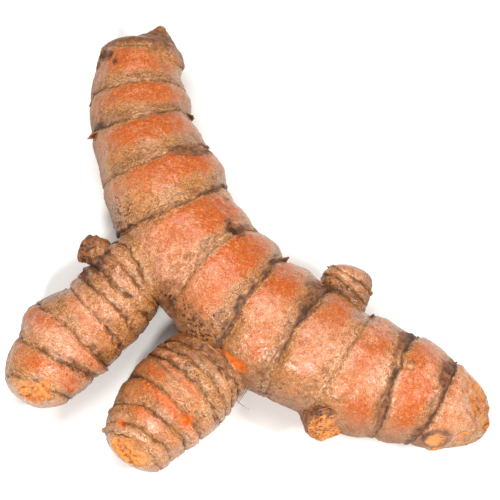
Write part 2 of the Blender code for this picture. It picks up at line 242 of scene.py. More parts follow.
LEFT = Limb(
    name="left_finger",
    axis=(
        (-14.0, 1.0, 13.0, 6.6),
        (-22.0, -5.4, 13.0, 7.4),
        (-26.5, -11.0, 11.6, 8.2),
        (-30.4, -14.6, 10.2, 8.2),
        (-34.7, -17.8, 9.1, 9.1),
        (-39.4, -23.7, 8.0, 8.2),
        (-42.2, -27.7, 7.2, 6.7),
        (-43.8, -30.5, 6.8, 4.8),
    ),
    rings=(
        (12.7, -1.3, -2.4, 0.7, 0.7, 0.6, 1.0),
        (14.0, -0.8, -1.9, 0.6, 0.4, 0.4, 1.0),
        (15.9, -1.0, -0.7, 0.7, 0.6, 0.5, 1.6),
        (19.2, -0.1, -1.0, 0.7, 0.5, 0.5, 1.8),
        (23.4, 0.1, -1.9, 0.4, 0.3, 0.6, 2.0),
        (27.5, 1.0, 0.1, 0.4, 0.3, 0.6, 2.0),
        (33.3, 1.1, 1.1, 0.5, 0.4, 0.6, 1.8),
        (40.4, 1.6, -0.2, 0.5, 0.4, 0.5, 1.2),
    ),
    bumps=(
        (25.5, 0, -0.5, 2.0), (30.5, 0, 0.9, 2.5), (37.0, 0, -0.6, 2.5), (36.0, 180, -0.6, 3.0),
        (41.5, 180, -0.7, 2.5),
    ),
    swell=0.85,
    caps=(3.0, 4.0),
    seed=5,
    rows=290,
    sides=200,
    crown=(105.0, 65.0),
    orange=(
        (11.4, 80, 1.6, 30, 0.8), (17.6, 110, 1.4, 35, 0.8), (21.8, 100, 1.8, 50, 0.9),
        (29.6, 60, 2.6, 45, 0.8), (30.4, 135, 2.4, 35, 1.0), (36.6, 110, 2.8, 60, 0.8),
    ),
    brown=(
        (13.0, 50, 1.2, 25, 0.6), (17.4, 30, 1.8, 20, 0.9), (25.4, 140, 1.4, 22, 0.3),
        (33.0, 140, 1.6, 30, 0.7),
    ),
    soil_and_shade=(
        (8.0, 150, 2.5, 40, 0.9), (14.0, 60, 2.0, 30, 0.7), (24.0, 165, 3.0, 20, 0.6),
        (33.5, 130, 1.5, 40, 0.8),
    ),
    cuts=((42.2, 112, 42, 0.9, 1.0),),
    pale=((17.4, 115, 1.6, 30, 0.6), (31.0, 100, 1.6, 30, 0.4), (11.0, 120, 1.2, 40, 0.4)),
    bloom_and_sheen=(
        (11.0, 80, 2.0, 40, 0.5), (14.6, 90, 1.4, 40, 0.6), (17.6, 100, 2.2, 45, 0.7),
        (21.8, 90, 2.0, 40, 0.9), (25.6, 125, 2.0, 30, 0.7), (31.5, 105, 3.5, 45, 1.0),
    ),
    vivid=((36.6, 157, 1.3, 12, 1.0), (30.0, 141, 1.0, 16, 0.6)),
    scars=((17.3, 20, 1.6, 2.6, 1.1), (14.2, 40, 1.2, 3.0, 0.4)),
    scales=(
        (0, 40, 150, 0.7, 55, 0.1), (1, 60, 150, 0.6, 55, 0.1), (2, 30, 80, 1.0, 40, 0.2),
        (2, 90, 150, 0.9, 50, 0.0), (3, 10, 60, 0.7, 40, 0.2), (3, 80, 150, 0.6, 50, 0.2),
        (4, 150, 180, 1.0, 25, 0.5), (5, 150, 180, 1.2, 20, 0.6), (5, -6, 30, 0.8, 30, 0.2),
        (6, 130, 176, 0.7, 35, 0.5),
    ),
)
FRONT = Limb(
    name="front_finger",
    axis=(
        (0.0, -14.5, 11.0, 6.4),
        (-6.2, -22.2, 10.2, 8.0),
        (-10.2, -26.0, 9.6, 9.2),
        (-13.8, -29.4, 9.0, 9.4),
        (-16.9, -32.6, 8.4, 9.0),
        (-19.7, -35.9, 7.8, 8.0),
        (-22.1, -39.2, 7.4, 6.7),
        (-24.2, -42.1, 7.0, 5.0),
    ),
    rings=(
        (10.1, -1.0, -1.1, 0.4, 0.4, 0.4, 1.0),
        (12.9, 0.0, -2.7, 0.5, 0.4, 0.5, 1.0),
        (16.2, 1.1, -4.2, 0.8, 0.5, 0.5, 1.2),
        (17.9, 0.9, -3.4, 0.6, 0.4, 0.4, 1.2),
        (19.9, 0.9, -2.8, 0.8, 0.5, 0.4, 1.2),
        (25.0, 0.6, -3.0, 0.6, 0.3, 0.5, 2.0),
        (30.2, 1.8, -3.9, 0.5, 0.3, 0.6, 1.6),
        (33.4, 1.2, -2.9, 0.4, 0.3, 0.3, 1.0),
        (35.2, 0.6, -2.2, 0.3, 0.3, 0.3, 0.6),
    ),
    swell=0.85,
    caps=(3.0, 3.4),
    seed=8,
    rows=270,
    sides=200,
    crown=(100.0, 70.0),
    orange=(
        (18.2, 90, 1.5, 40, 0.7), (22.0, 60, 2.2, 35, 1.0), (22.6, 102, 2.2, 35, 1.1),
        (22.9, 136, 2.0, 22, 1.0), (27.6, 70, 2.2, 45, 1.0), (27.4, 122, 1.6, 25, 0.6),
        (31.6, 62, 1.4, 40, 1.0),
    ),
    brown=(
        (11.5, 80, 3.0, 60, 0.7), (19.2, 60, 0.8, 40, 0.7), (24.4, 70, 0.8, 50, 0.5),
        (29.0, 140, 1.6, 25, 0.5),
    ),
    soil_and_shade=((10.0, 60, 3.0, 40, 0.6), (15.5, 95, 1.0, 25, 0.8), (16.0, 150, 2.0, 25, 0.4)),
    cuts=((34.5, 96, 45, 1.0, 1.0),),
    pale=(
        (12.5, 130, 2.2, 30, 0.6), (18.5, 138, 2.4, 22, 1.0), (23.5, 150, 2.0, 16, 0.8),
        (32.6, 110, 1.6, 50, 0.7),
    ),
    bloom_and_sheen=((32.6, 100, 2.0, 60, 1.0), (28.4, 110, 1.6, 25, 0.7), (17.2, 60, 1.4, 30, 0.6)),
    vivid=((22.6, 96, 1.2, 9, 1.0), (22.8, 130, 1.8, 10, 1.0), (31.5, 60, 0.8, 14, 0.9)),
    scales=(
        (0, 30, 130, 0.8, 55, 0.1), (1, 20, 120, 0.8, 55, 0.3), (2, 30, 90, 0.8, 50, 0.3),
        (2, 110, 160, 0.8, 50, 0.0), (3, 10, 60, 0.7, 45, 0.4), (3, 100, 170, 0.8, 45, 0.1),
        (4, 0, 40, 0.9, 30, 0.4), (4, 150, 180, 0.8, 30, 0.3), (5, 60, 120, 0.5, 55, 0.2),
        (6, -4, 26, 1.0, 25, 0.4), (6, 80, 150, 1.0, 40, 0.0), (7, 60, 150, 1.0, 40, 0.1),
        (7, -4, 24, 1.0, 25, 0.4), (8, 60, 160, 0.8, 45, 0.1),
    ),
    hairs=((13.0, 178, 2.2, 0.9),),
)
KNOB = Limb(
    name="back_knob",
    axis=((16.2, -17.0, 11.4, 4.2), (18.3, -9.6, 12.0, 4.9), (19.1, -4.3, 12.2, 4.5)),
    rings=(
        (6.0, -2.4, 0.2, 0.3, 0.6, 0.8, 1.2),
        (8.2, -2.4, 0.2, 0.3, 0.5, 0.6, 1.2),
        (10.2, -2.0, 0.2, 0.3, 0.4, 0.4, 0.8),
    ),
    swell=0.3,
    caps=(3.0, 3.0),
    seed=11,
    rows=120,
    sides=120,
    crown=(90.0, 60.0),
    orange=((10.5, 100, 3.0, 80, 0.5),),
    brown=((6.0, 130, 2.5, 60, 0.9), (8.4, 60, 0.8, 40, 0.5)),
    pale=((9.5, 70, 3.0, 60, 0.4),),
    bloom_and_sheen=((9.8, 80, 2.5, 60, 0.8),),
    soil_and_shade=((6.5, 150, 2.0, 40, 1.0), (7.4, 90, 0.7, 40, 0.9)),
    scales=(
        (0, 30, 150, 0.6, 40, 0.3), (1, 10, 170, 0.6, 40, 0.2), (2, 0, 60, 1.0, 25, 0.5),
        (2, 120, 180, 0.8, 25, 0.3),
    ),
)
FRONT_STUB = Limb(
    name="front_stub",
    axis=((13.0, -28.0, 7.0, 3.6), (14.3, -34.0, 12.0, 4.5), (15.2, -37.5, 14.6, 4.1)),
    rings=((8.2, 0.0, 0.3, 0.4, 0.5, 0.5, 1.0), (10.6, 0.0, 0.2, 0.5, 0.6, 0.6, 1.2)),
    swell=0.5,
    seed=13,
    rows=150,
    sides=130,
    brown=((12.6, 210, 2.0, 70, 0.9), (11.5, 90, 2.0, 90, 0.8), (11.0, 0, 3.0, 60, 0.9)),
    soil_and_shade=((12.6, 40, 3.5, 400, 0.7),),
    cuts=((12.5, 280, 76, 1.7, 1.0),),
    scales=((1, 20, 150, 0.9, 35, 0.5),),
    rough=0.8,
)
END_STUB = Limb(
    name="end_stub",
    axis=((34.4, -33.0, 8.4, 3.2), (35.8, -37.2, 7.4, 3.0), (36.4, -39.7, 6.8, 2.6)),
    caps=(2.0, 1.0),
    seed=17,
    brown=((3.4, 90, 1.8, 400, 0.9),),
    cuts=((6.0, 90, 52, 0.6, 1.0),),
    rough=0.5,
)
SIDE_BUD = Limb(
    name="side_bud",
    axis=((-24.0, -5.0, 13.0, 3.2), (-30.4, -1.6, 13.0, 3.0), (-33.5, -0.3, 13.0, 2.8)),
    seed=19,
    brown=((9.5, 90, 4.0, 400, 1.0),),
    soil_and_shade=((9.5, 60, 3.0, 400, 0.9),),
    rough=1.8,
)
SMALL_BUD = Limb(
    name="small_bud",
    axis=((-31.0, -11.0, 12.0, 1.5), (-34.8, -7.4, 12.6, 1.4)),
    caps=(1.0, 0.9),
    seed=23,
    rows=50,
    sides=50,
    pale=((5.0, 60, 2.0, 90, 0.5),),
    rough=0.4,
)
STEM_SCAR = Limb(
    name="stem_scar",
    axis=(
        (-20.6, 41.0, 9.8, 7.4),
        (-19.7, 45.2, 10.6, 5.4),
        (-18.9, 47.9, 11.3, 2.2),
        (-18.6, 49.7, 11.7, 1.0),
    ),
    caps=(2.0, 0.8),
    seed=29,
    brown=((6.5, 90, 4.0, 400, 0.9),),
    rough=1.0,
)
STEM_LOBE = Limb(
    name="stem_lobe",
    axis=((-19.6, 42.0, 10.6, 3.8), (-15.6, 42.4, 12.2, 2.8)),
    caps=(1.6, 1.4),
    seed=31,
    bloom_and_sheen=((4.0, 90, 2.5, 400, 0.7),),
)
LIMBS = (MAIN, LEFT, FRONT, KNOB, FRONT_STUB, END_STUB, SIDE_BUD, SMALL_BUD, STEM_SCAR, STEM_LOBE)


def smooth_step(low, high, x):
    """0 below low, 1 above high, and a smooth S between."""
    t = np.clip((x - low) / (high - low), 0.0, 1.0)
    return t * t * (3.0 - 2.0 * t)


def bell(x):
    """1 at the middle, falling away on both sides: e to the power of minus x squared."""
    return np.exp(-(x**2))


def value_noise(points, seed):
    """Smooth noise between -1 and 1: random numbers at the corners of a lattice that repeats every 32
    cells, blended within each cell by the eased place between its corners."""
    lattice = np.random.default_rng(seed).uniform(-1.0, 1.0, (32, 32, 32))
    cell = np.floor(points).astype(np.int64)
    part = points - cell
    part = part * part * (3.0 - 2.0 * part)
    total = np.zeros(points.shape[:-1])
    for corner in np.ndindex(2, 2, 2):
        weight = np.prod(np.where(corner, part, 1.0 - part), axis=-1)
        i, j, k = np.moveaxis((cell + corner) % 32, -1, 0)
        total += weight * lattice[i, j, k]
    return total


def cloud(points, seed, octaves=3):
    """Noise of several sizes: each octave is twice as fine and half as strong as the one before."""
    total = np.zeros(points.shape[:-1])
    for octave in range(octaves):
        total += value_noise(points * 2.0**octave + 5.3 * octave, seed + octave) / 2.0**octave
    return total


def smooth_axis(points):
    """A Catmull-Rom curve through the axis points: distances, and places with radii."""
    p = np.asarray(points, float)
    p = np.vstack([2 * p[0] - p[1], p, 2 * p[-1] - p[-2]])
    t = np.linspace(0.0, 1.0, AXIS_STEPS, endpoint=False)[:, None]
    spans = [
        0.5
        * (
            2 * b
            + (c - a) * t
            + (2 * a - 5 * b + 4 * c - d) * t**2
            + (3 * b - a - 3 * c + d) * t**3
        )
        for a, b, c, d in zip(p[:-3], p[1:-2], p[2:-1], p[3:])
    ]
    rows = np.vstack([*spans, p[-2:-1]])
    steps = np.linalg.norm(np.diff(rows[:, :3], axis=0), axis=1)
    return np.concatenate([[0.0], np.cumsum(steps)]), rows


def along(distance, table, values):
    """The table's values at these distances, column by column."""
    return np.stack([np.interp(distance, table, column) for column in values.T], axis=-1)


def axis_frame(distance, table, rows):
    """Centre, radius, sideways and upward unit vectors of the axis at these distances."""
    tangents = np.gradient(rows[:, :3], table, axis=0)
    found = along(distance, table, rows)
    tangent = along(distance, table, tangents)
    tangent /= np.linalg.norm(tangent, axis=-1, keepdims=True)
    side = np.cross(tangent, [0.0, 0.0, 1.0])
    side /= np.linalg.norm(side, axis=-1, keepdims=True)
    return found[..., :3], found[..., 3], side, np.cross(side, tangent)


def ring_wander(angle, seed):
    """How far a ring strays from its plane: waves round the limb that weaken as they shorten."""
    draw = np.random.default_rng(seed)
    turns = np.arange(2, 70)
    size = draw.normal(0.0, 1.0, turns.size) * RING_WANDER / turns**0.7
    phase = draw.uniform(0.0, 2 * np.pi, turns.size)
    return (size[:, None] * np.cos(turns[:, None] * angle + phase[:, None])).sum(axis=0)


def ring_edges(limb, length, angle):
    """Distance of every ring at every angle, between the two ends. A ring's distance is its own, plus its
    side lean times the cosine of the angle, plus its top lean times an eased sine, plus its wander."""
    crown = (np.sin(angle) + np.sqrt(np.sin(angle) ** 2 + CROWN_EASE)) / 2
    edges = [np.zeros_like(angle)]
    for k, (d, side, top) in enumerate([ring[:3] for ring in limb.rings]):
        edges.append(d + side * np.cos(angle) + top * crown + ring_wander(angle, 100 * limb.seed + k))
    return np.array([*edges, np.full_like(angle, length)])


def grid_rows(edges, rows):
    """Internode and share of it for each row of the grid. Rows are dealt out by length, at least six to an
    internode, and crowd towards the rings: share is t - 0.6 sin(2 pi t) / (2 pi)."""
    lengths = np.diff(edges.mean(axis=1))
    counts = np.maximum(np.round(rows * lengths / lengths.sum()).astype(int), 6)
    internode = np.repeat(np.arange(counts.size), counts)
    t = np.concatenate([np.arange(n) / n for n in counts])
    return internode[1:], (t - 0.6 * np.sin(2 * np.pi * t) / (2 * np.pi))[1:]


def swelling(f):
    """Height of an internode over its crease: a quick rise after the ring behind, then a slow fall to the
    ring ahead, each as strong as that ring."""
    behind = FAINT_RING + (1.0 - FAINT_RING) * f["ink_past"]
    ahead = FAINT_RING + (1.0 - FAINT_RING) * f["ink_before"]
    dip = behind * (1.0 - smooth_step(0.0, RISE_SHARE, f["share"]))
    return 1.0 - dip - FALL_DEPTH * ahead * smooth_step(FALL_FROM, 1.0, f["share"])


def lumps(distance, angle, seed):
    """Slow unevenness: a sum of a few waves round and along the limb, with seeded phases."""
    draw = np.random.default_rng(seed)
    total = np.zeros_like(distance)
    for _ in range(LUMP_WAVES):
        turns = draw.integers(1, 4)
        wavelength = draw.uniform(12.0, 30.0)
        phase = draw.uniform(0.0, 2 * np.pi)
        total += np.cos(2 * np.pi * distance / wavelength + turns * angle + phase)
    return total * LUMP_HEIGHT / LUMP_WAVES


def bumps(distance, angle, places):
    """The sum of the bumps: each a bell along the axis times a bell round it."""
    total = np.zeros_like(distance)
    for d, degrees, height, reach in places:
        round_it = np.exp((np.cos(angle - np.radians(degrees)) - 1.0) / BUMP_WIDTH)
        total += height * bell((distance - d) / reach) * round_it
    return total


def patches(distance, angle, places):
    """The strongest of the patches at each point: each a bell along the axis times a bell round it."""
    total = np.zeros_like(distance)
    for d, degrees, reach, width, amount in places:
        turn = np.degrees(angle) - degrees
        turn = (turn + 180.0) % 360.0 - 180.0
        total = np.maximum(total, amount * np.exp(-(((distance - d) / reach) ** 2) - (turn / width) ** 2))
    return total


def scar_reach(f, places):
    """For each scar, how far off its middle each point is, as a share of its half size."""
    for d, degrees, long, wide, depth in places:
        turn = (f["angle"] - np.radians(degrees) + np.pi) % (2 * np.pi) - np.pi
        yield np.hypot((f["distance"] - d) / long, turn * f["radius"] / wide), depth


def end_rounding(distance, length, start_cap, end_cap):
    """Share of the full radius near the two ends, from 0 at the tip: a superellipse."""
    near = np.clip(1.0 - distance / start_cap, 0.0, 1.0)
    far = np.clip(1.0 - (length - distance) / end_cap, 0.0, 1.0)
    k = CAP_ROUNDNESS
    return (1.0 - near**k) ** (1.0 / k) * (1.0 - far**k) ** (1.0 / k)


def limb_fields(limb):
    """All that the surface and its colours depend on, each as an array over rows and sides."""
    table, axis = smooth_axis(limb.axis)
    length = table[-1]
    turn = np.linspace(0.0, 2 * np.pi, limb.sides, endpoint=False)
    edges = ring_edges(limb, length, turn)
    internode, share = grid_rows(edges, limb.rows)
    near, far = edges[internode], edges[internode + 1]
    distance = near + share[:, None] * (far - near)
    angle = np.broadcast_to(turn, distance.shape)
    centre, radius, side, up = axis_frame(distance, table, axis)
    girth = np.stack([distance, radius * np.cos(angle), radius * np.sin(angle)], axis=-1)
    marks = np.array([(0.0,) * 4, *[ring[3:] for ring in limb.rings], (0.0,) * 4])
    right = smooth_step(0.2, 0.9, np.cos(turn))
    left = smooth_step(0.2, 0.9, -np.cos(turn))
    ink = marks[:, 1:2] * (1.0 - right - left) + marks[:, 0:1] * right + marks[:, 2:3] * left
    share = np.broadcast_to(share[:, None], distance.shape)
    fullness = np.minimum(np.diff(edges.mean(axis=1)) / FULL_INTERNODE, 1.0)
    past = np.where(internode[:, None] > 0, distance - near, 99.0)
    before = np.where(internode[:, None] < len(edges) - 2, far - distance, 99.0)
    return {
        "table": table,
        "axis": axis,
        "length": length,
        "distance": distance,
        "angle": angle,
        "centre": centre,
        "radius": radius,
        "side": side,
        "up": up,
        "girth": girth,
        "share": share,
        "fullness": fullness[internode][:, None],
        "past": past,
        "before": before,
        "ink": np.where(past < before, ink[internode], ink[internode + 1]),
        "ink_past": ink[internode],
        "ink_before": ink[internode + 1],
        "band": np.broadcast_to(marks[internode + 1, 3][:, None], distance.shape),
    }


def skin_marks(limb, f):
    """The colour masks of a limb, each from 0 to 1, over rows and sides."""
    distance, angle, girth, share = f["distance"], f["angle"], f["girth"], f["share"]
    broad = cloud(girth / BROAD_SIZE, limb.seed + 40)
    small = cloud(girth / SMALL_SIZE, limb.seed + 50)
    fibre = cloud(girth / FIBRE_SIZE, limb.seed + 60)

    def spots(rows):
        return patches(distance, angle, rows)

    # Orange and pink, where the husk is thin; the pale pink patches are partly a painted sheen.
    turn = (np.degrees(angle) - limb.crown[0] + 180.0) % 360.0 - 180.0
    crown = 0.25 + 0.75 * bell(turn / limb.crown[1])
    window = smooth_step(0.0, 0.12, share) * (1.0 - smooth_step(0.45, 1.05, share + 0.2 * broad))
    patch = spots(limb.orange) * smooth_step(0.0, 0.08, share)
    blush = (0.55 * crown * window + 0.6 * patch) * f["fullness"] ** 0.5
    blush = smooth_step(0.12, 1.0, blush + 0.2 * broad + 0.16 * small)
    bloom_and_sheen = spots(limb.bloom_and_sheen)
    thin = np.clip(bloom_and_sheen + 0.25 * small + 0.15 * broad, 0.0, 1.0)
    thin = thin * (share > 0.05) * smooth_step(0.0, 0.2, bloom_and_sheen)
    blush = blush + 0.7 * thin * (0.34 - blush)
    if not limb.rings:
        blush = 0.25 * blush
    flesh = smooth_step(0.35, 0.55, spots(limb.flesh) + 0.16 * small + 0.1 * broad)
    vivid = smooth_step(0.35, 0.8, spots(limb.vivid) + 0.2 * small)

    # Brown remains of the scale leaf before each ring, stains and scars, and darker skin where limbs meet.
    band = bell(f["before"] / np.maximum(f["band"], 0.3)) * (f["band"] > 0)
    husk = np.clip(smooth_step(0.5, 1.0, share) * 0.4 + 0.6 * band, 0.0, 1.0)
    brown = spots(limb.brown) + 0.85 * band * (0.2 + f["ink_before"])
    brown = smooth_step(0.3, 1.0, brown + 0.3 * fibre + 0.2 * small)
    blots = 0.75 + 0.6 * fibre + 0.6 * small + 0.7 * cloud(girth / 3.0, limb.seed + 65)
    smudge = smooth_step(0.35, 1.05, band**1.5 * f["ink_before"] * blots)
    outline = np.zeros_like(distance)
    for off, depth in scar_reach(f, limb.scars):
        brown = np.maximum(brown, smooth_step(1.25, 0.8, off + 0.25 * small))
        pit = smooth_step(0.75, 0.35, off + 0.2 * small) * (depth > 0.0)
        rim = 0.8 * bell((off - 1.15) / 0.16) * smooth_step(-0.3, 0.3, fibre + 0.4)
        outline = np.maximum(outline, np.maximum(rim, pit))

    # Dark creases with gaps, the pale edge of the husk before them, partly a painted highlight on its lip.
    # Painted shade: each limb is darker on its underside and on its flank at 0 degrees.
    painted_low_shade = smooth_step(0.75, -0.5, np.sin(angle - np.radians(20.0)))
    line = bell(f["past"] / LINE_PAST) + bell(f["before"] / LINE_BEFORE)
    gaps = smooth_step(-0.35, 0.35, cloud(girth / 1.1, limb.seed + 70) + 1.6 * (f["ink"] - 0.45))
    line = np.maximum(line * gaps * (0.4 + 0.6 * f["ink"]), np.maximum(smudge, outline))
    # Painted highlight, in part: a pale line on the raised lip just before each ring.
    edge = bell((f["before"] - LIP_SHINE_PLACE) / LIP_SHINE_REACH) * (f["band"] > 0)
    edge = 0.8 * edge * smooth_step(0.1, 0.7, cloud(girth / 2.0, limb.seed + 75) + 0.3)
    # Specks of earth; patches where limbs meet are partly painted shade in the gaps, and the low side gets
    # more.
    soil_and_shade = spots(limb.soil_and_shade)
    soil_and_shade = np.maximum(soil_and_shade, 0.4 * painted_low_shade * smooth_step(-0.2, 0.6, broad))
    return {
        "blush": blush * (1.0 - 0.7 * brown),
        "husk": husk,
        "brown": brown,
        "line": np.clip(line, 0.0, 1.0),
        "soil_and_shade": np.clip(soil_and_shade, 0.0, 1.0),
        "flesh": flesh,
        "vivid": vivid,
        "peel_and_lip_shine": np.clip(np.maximum(spots(limb.pale) + 0.2 * small, edge), 0.0, 1.0),
        "bloom_and_sheen": thin * (1.0 - brown),
        "shade": painted_low_shade,
    }


def relief(limb, f, marks):
    """Height of the skin over the limb's plain tube. It is the sum of the swelling, the creases with the lips
    of the old leaf bases before them, lumps, bumps, dents, scars, wrinkles round the limb, grain and crumbs,
    less the thickness of the skin where it is torn."""
    girth = f["girth"]
    rings = float(limb.swell > 0)
    grip = 0.3 + 0.9 * f["ink"] + 0.45 * cloud(girth / DENT_SIZE, limb.seed + 80)
    grip = np.clip(grip, 0.05, 1.6)
    crease = bell(np.minimum(f["past"], f["before"]) / CREASE_REACH)
    lip = bell((f["before"] - LIP_PLACE) / LIP_REACH)
    raised = limb.swell * f["fullness"] * (swelling(f) - MEAN_SWELLING) * rings
    raised = raised + rings * (LIP_HEIGHT * lip - CREASE_DEPTH * crease) * grip
    raised = raised + lumps(f["distance"], f["angle"], limb.seed)
    raised = raised + bumps(f["distance"], f["angle"], limb.bumps)
    pitch = girth / WRINKLE_SIZE
    pitch[..., 0] += 0.5 * cloud(girth / 3.0, limb.seed + 90)
    wrinkle = WRINKLE_HEIGHT * (0.25 + 0.9 * marks["husk"] + 0.6 * marks["brown"])
    wrinkle = wrinkle * cloud(pitch, limb.seed + 91, 2)
    dents = DENT_HEIGHT * cloud(girth / DENT_SIZE, limb.seed + 92)
    dents = dents + HOLLOW_HEIGHT * value_noise(girth / HOLLOW_SIZE, limb.seed + 95)
    for off, depth in scar_reach(f, limb.scars):
        dents = dents + RIM_HEIGHT * bell((off - 1.0) / 0.22) - depth * smooth_step(1.0, 0.6, off)
    torn = SKIN_THICKNESS * np.maximum(marks["flesh"], marks["vivid"])
    rough = ROUGH_HEIGHT * limb.rough * smooth_step(0.35, 0.8, f["distance"] / f["length"])
    rough = rough * cloud(girth / ROUGH_SIZE, limb.seed + 96)
    grain = GRAIN_HEIGHT * cloud(girth / GRAIN_SIZE, limb.seed + 93, 2)
    crumbs = FLESH_HEIGHT * cloud(girth / CRUMB_SIZE, limb.seed + 94) * marks["flesh"]
    return raised + wrinkle + dents + grain + crumbs + rough - torn


def limb_points(limb, f, marks):
    """Places of the grid's points: the centre of the axis, plus the reach round it."""
    reach = (f["radius"] + relief(limb, f, marks)) * end_rounding(f["distance"], f["length"], *limb.caps)
    across = (reach * np.cos(f["angle"]))[..., None] * f["side"]
    raised = (reach * HEIGHT_SHARE * np.sin(f["angle"]))[..., None] * f["up"]
    return f["centre"] + across + raised


def cut_back(limb, f, points, marks):
    """The points with the limb's cuts made: all that lies beyond a cut's plane is moved back onto it, less
    the crumbs of the flesh. The plane faces the way out at the cut's distance and angle, tilted towards the
    tip, and lies at the cut's depth behind the limb's furthest point that way."""
    for d, degrees, tilt, depth, bare in limb.cuts:
        _, _, side, up = axis_frame(np.array(d), f["table"], f["axis"])
        out = np.cos(np.radians(degrees)) * side + np.sin(np.radians(degrees)) * up
        normal = np.cos(np.radians(tilt)) * out + np.sin(np.radians(tilt)) * np.cross(up, side)
        over = points @ normal
        over = over - over.max() + depth + CUT_WAVE * cloud(points / DENT_SIZE, limb.seed + 97)
        cut = smooth_step(0.0, CUT_SOFTNESS, over)
        crumbs = FLESH_HEIGHT * cloud(points / CRUMB_SIZE, limb.seed + 98) * cut
        points = points - (np.maximum(over, 0.0) - crumbs)[..., None] * normal
        edge = smooth_step(0.0, 0.8, cloud(points / 1.2, limb.seed + 99))
        edge = 0.6 * edge * bell(over / CUT_SOFTNESS)
        shows = smooth_step(-0.2, 0.2, cloud(points / 2.5, limb.seed + 101) + 1.8 * (bare - 0.5))
        marks["flesh"] = np.maximum(marks["flesh"], cut * shows)
        marks["peel_and_lip_shine"] = np.maximum(marks["peel_and_lip_shine"], 0.7 * smooth_step(-1.3, -0.3, over) * (1.0 - cut * shows))
        marks["line"] = np.maximum(marks["line"] * (1.0 - cut), edge)
    return points


def place(points):
    """From the axis tables' millimetres to the frame's metres, with nothing below the table."""
    moved = (points + BOX_SHIFT) * MM
    moved[..., 2] = np.maximum(moved[..., 2], 0.0)
    return moved


def closed_grid(points, first, last):
    """Vertices and faces of rows of points, closed round the limb and fanned to a point at each end."""
    rows, sides = points.shape[:2]
    corners = np.arange(rows * sides).reshape(rows, sides)
    after = np.roll(corners, -1, axis=1)
    quads = np.stack([corners[:-1], after[:-1], after[1:], corners[1:]], axis=-1).reshape(-1, 4)
    start, end = rows * sides, rows * sides + 1
    front = np.stack([np.full(sides, start), after[0], corners[0]], axis=-1)
    back = np.stack([np.full(sides, end), corners[-1], after[-1]], axis=-1)
    vertices = np.vstack([points.reshape(-1, 3), first, last])
    return vertices, quads.tolist() + front.tolist() + back.tolist()


def new_piece(name, vertices, faces, material):
    """A smooth mesh object at the origin that rides on the root and takes the skin's slot."""
    mesh = bpy.data.meshes.new(name)
    mesh.from_pydata(vertices.tolist(), [], faces)
    mesh.shade_smooth()
    mesh.materials.append(material)
    piece = bpy.data.objects.new(name, mesh)
    bpy.context.scene.collection.objects.link(piece)
    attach(piece, "root")
    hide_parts(NODE)
    return piece


def store(mesh, name, values):
    """Keeps one number or one vector for each vertex."""
    kind = "FLOAT_VECTOR" if values.ndim == 2 else "FLOAT"
    kept = mesh.attributes.new(name, kind, "POINT")
    kept.data.foreach_set("vector" if values.ndim == 2 else "value", values.astype(np.float32).ravel())


def grow(limb, material):
    """Makes the mesh of one limb, with its masks and its place on the skin as attributes, and dresses it."""
    f = limb_fields(limb)
    marks = skin_marks(limb, f)
    points = cut_back(limb, f, limb_points(limb, f, marks), marks)
    first, last = place(points[0].mean(axis=0)), place(points[-1].mean(axis=0))
    vertices, faces = closed_grid(place(points), first, last)
    piece = new_piece(limb.name, vertices, faces, material)
    for name, values in marks.items():
        store(piece.data, name, np.concatenate([values.ravel(), values[0, :1], values[-1, :1]]))
    store(piece.data, "girth", np.vstack([f["girth"].reshape(-1, 3), f["girth"][0, :1], f["girth"][-1, :1]]))
    dress(limb, f, points, material)


def on_surface(f, points, distance, degrees):
    """The grid's points nearest to these distances and angles, and the way out from the axis at each."""
    turn = np.radians(degrees)[:, None, None] - f["angle"]
    off = (f["distance"] - distance[:, None, None]) ** 2 + (2.0 - 2.0 * np.cos(turn)) * f["radius"] ** 2
    nearest = off.reshape(len(distance), -1).argmin(axis=1)
    found = points.reshape(-1, 3)[nearest]
    out = found - f["centre"].reshape(-1, 3)[nearest]
    return found, out / np.linalg.norm(out, axis=-1, keepdims=True)


def scale_grid(limb, f, points, row, seed):
    """The ragged remains of a scale leaf along a ring: a thin blade that stands out from the skin, tilted
    towards the limb's tip. Its section is a flat loop of width w and thickness t: w (1 - cos a) / 2 along
    the blade, less the root sunk in the skin, and t sin(a) across it, plus a slow curl."""
    ring, start, end, height, tilt, _ = row
    degrees = np.linspace(start, end, SCALE_STEPS)
    edges = ring_edges(limb, f["length"], np.radians(degrees))
    base, out = on_surface(f, points, edges[ring + 1], degrees)
    smooth = np.array([0.25, 0.5, 0.25])
    base[1:-1] = sum(w * base[i : i - 2 or None] for i, w in enumerate(smooth))
    run = np.gradient(base, axis=0)
    run /= np.linalg.norm(run, axis=-1, keepdims=True)
    ahead = np.cross(out, run)
    ahead *= np.sign((ahead * (f["centre"][-1, 0] - f["centre"][0, 0])).sum(axis=-1, keepdims=True))
    blade = np.cos(np.radians(tilt)) * out + np.sin(np.radians(tilt)) * ahead
    across = np.cross(blade, run)
    share = np.linspace(0.0, 1.0, SCALE_STEPS)
    ragged = 0.7 + 0.5 * cloud(share[:, None] * [(end - start) / 12.0, 0.0, 0.0], seed, 2)
    width = height * np.sin(np.pi * share) ** 0.4 * np.clip(ragged, 0.2, 1.2) + SCALE_ROOT
    loop = np.linspace(0.0, 2 * np.pi, SCALE_SIDES, endpoint=False)
    along_it = width[:, None] * (1.0 - np.cos(loop)) / 2 - SCALE_ROOT
    curl = 0.25 * value_noise(share[:, None] * [4.0, 0.0, 0.0], seed + 7)
    off = SCALE_THICKNESS * np.sin(loop) + curl[:, None] * ((1.0 - np.cos(loop)) / 2) ** 2
    return base[:, None] + along_it[..., None] * blade[:, None] + off[..., None] * across[:, None]


